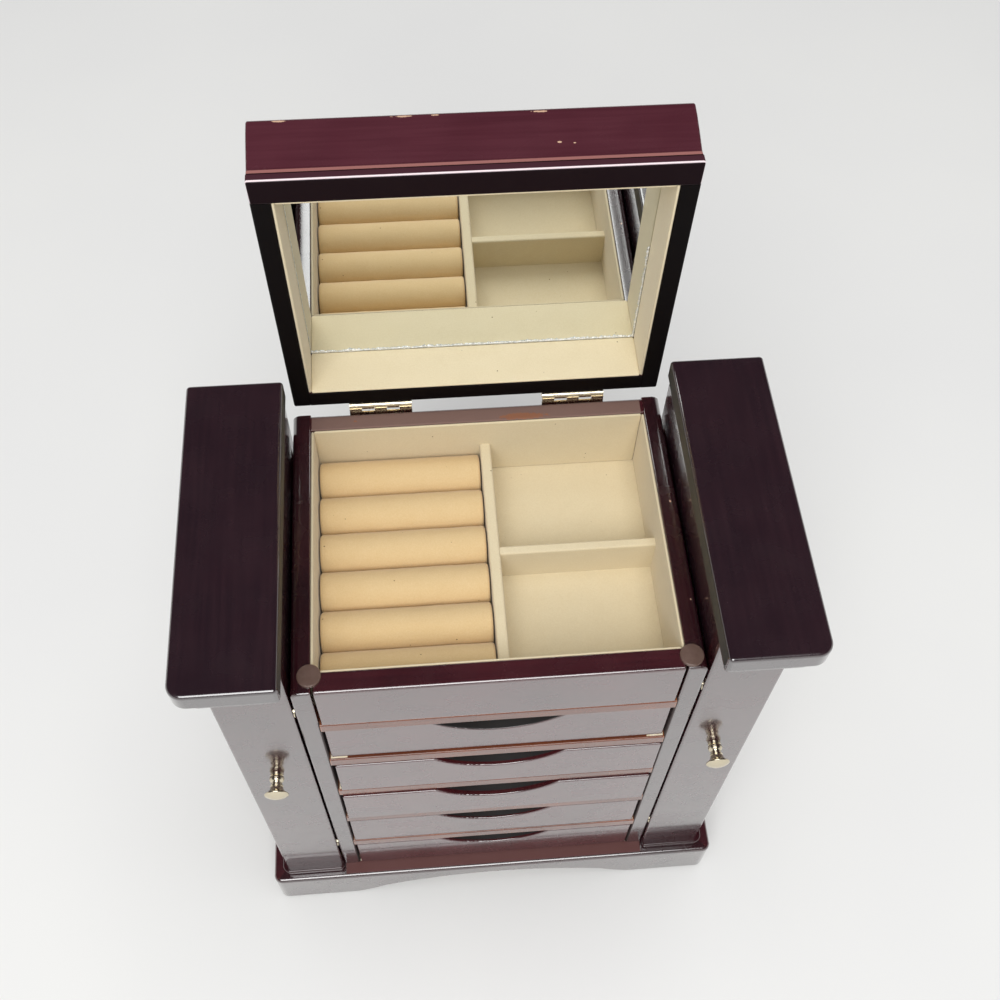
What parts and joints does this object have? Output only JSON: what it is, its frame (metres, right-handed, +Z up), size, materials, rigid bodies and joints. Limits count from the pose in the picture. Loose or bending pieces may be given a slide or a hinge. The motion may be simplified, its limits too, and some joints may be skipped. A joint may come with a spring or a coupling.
{
  "type": "jewellery box",
  "caption": "Upright wooden jewellery box: hinged lid with a mirror over a lined ring tray, scooped drawers below, and a swing-out necklace wing with a small knob on each side.",
  "frame": {"origin": "on the resting plane, under the middle of the cabinet between its front and back faces", "axes": "+Z up, -Y to the front, +X to the right seen from the front"},
  "size_m": [0.2686, 0.1939, 0.4504],
  "materials": {
    "lacquered_wood": "satin-gloss dark cherry lacquer",
    "drawer_wood": "thin dark stain",
    "board": "plain board",
    "card": "plain card",
    "felt": "pressed felt",
    "magnet": "plated",
    "glide_strip": "smooth white tape",
    "suede": "cream flocked suede on card",
    "roll_suede": "beige suede over foam",
    "bumper": "translucent soft disc",
    "nickel": "polished pale nickel",
    "mirror_glass": "silvered glass",
    "hook_brass": "bright plating",
    "pocket_cloth": "gathered cream cloth"
  },
  "bodies": {
    "cabinet": {"plinth_front_apron": "lacquered_wood", "plinth_rear_aprons": "lacquered_wood", "plinth_deck": "board", "felt_feet": "felt", "right_side_board": "lacquered_wood", "left_side_board": "lacquered_wood", "back_board": "lacquered_wood", "tray_front_panel": "lacquered_wood", "tray_floor_board": "board", "catch_magnets": "magnet", "drawer_frames": "lacquered_wood", "drawer_glides": "glide_strip", "tray_lining": "suede", "long_divider": "suede", "cross_divider": "suede", "ring_rolls": "roll_suede", "lid_bumpers": "bumper", "lid_hinge_fixed_leaves": "nickel", "wing_hinge_fixed_leaves": "nickel", "hinge_pins": "nickel"},
    "lid": {"lid_front_wall": "lacquered_wood", "lid_side_walls": "lacquered_wood", "lid_back_wall": "lacquered_wood", "lid_top_panel": "lacquered_wood", "lid_mirror": "mirror_glass", "mirror_backing": "card", "lid_lining": "suede", "lid_hinge_lid_leaves": "nickel"},
    "left_wing": {"left_wing_front_panel": "lacquered_wood", "left_wing_outer_panel": "lacquered_wood", "left_wing_back_panel": "lacquered_wood", "left_wing_header": "lacquered_wood", "left_wing_cap": "lacquered_wood", "left_wing_cap_moulding": "lacquered_wood", "left_wing_base": "lacquered_wood", "left_wing_necklace_hooks": "hook_brass", "left_wing_pocket": "pocket_cloth", "left_wing_knob": "nickel", "left_wing_fittings": "nickel"},
    "right_wing": {"right_wing_front_panel": "lacquered_wood", "right_wing_outer_panel": "lacquered_wood", "right_wing_back_panel": "lacquered_wood", "right_wing_header": "lacquered_wood", "right_wing_cap": "lacquered_wood", "right_wing_cap_moulding": "lacquered_wood", "right_wing_base": "lacquered_wood", "right_wing_necklace_hooks": "hook_brass", "right_wing_pocket": "pocket_cloth", "right_wing_knob": "nickel", "right_wing_fittings": "nickel"},
    "drawer_1": {"drawer_1_front": "lacquered_wood", "drawer_1_box": "drawer_wood"},
    "drawer_2": {"drawer_2_front": "lacquered_wood", "drawer_2_box": "drawer_wood"},
    "drawer_3": {"drawer_3_front": "lacquered_wood", "drawer_3_box": "drawer_wood"},
    "drawer_4": {"drawer_4_front": "lacquered_wood", "drawer_4_box": "drawer_wood"},
    "drawer_5": {"drawer_5_front": "lacquered_wood", "drawer_5_box": "drawer_wood"}
  },
  "joints": [
    {"name": "lid_hinge", "type": "hinge", "parent": "cabinet", "child": "lid", "pos_m": [0, 0.0761, 0.2958], "axis": [1, 0, 0], "range_deg": [0, 88.5]},
    {"name": "left_wing_hinge", "type": "hinge", "parent": "cabinet", "child": "left_wing", "pos_m": [-0.0926, 0.0668, 0.168], "axis": [0, 0, -1], "range_deg": [0, 90]},
    {"name": "right_wing_hinge", "type": "hinge", "parent": "cabinet", "child": "right_wing", "pos_m": [0.0926, 0.0668, 0.168], "axis": [0, 0, 1], "range_deg": [0, 90]},
    {"name": "drawer_1_slide", "type": "slide", "parent": "cabinet", "child": "drawer_1", "axis": [0, -1, 0], "range_m": [0, 0.1]},
    {"name": "drawer_2_slide", "type": "slide", "parent": "cabinet", "child": "drawer_2", "axis": [0, -1, 0], "range_m": [0, 0.1]},
    {"name": "drawer_3_slide", "type": "slide", "parent": "cabinet", "child": "drawer_3", "axis": [0, -1, 0], "range_m": [0, 0.1]},
    {"name": "drawer_4_slide", "type": "slide", "parent": "cabinet", "child": "drawer_4", "axis": [0, -1, 0], "range_m": [0, 0.1]},
    {"name": "drawer_5_slide", "type": "slide", "parent": "cabinet", "child": "drawer_5", "axis": [0, -1, 0], "range_m": [0, 0.1]}
  ]
}
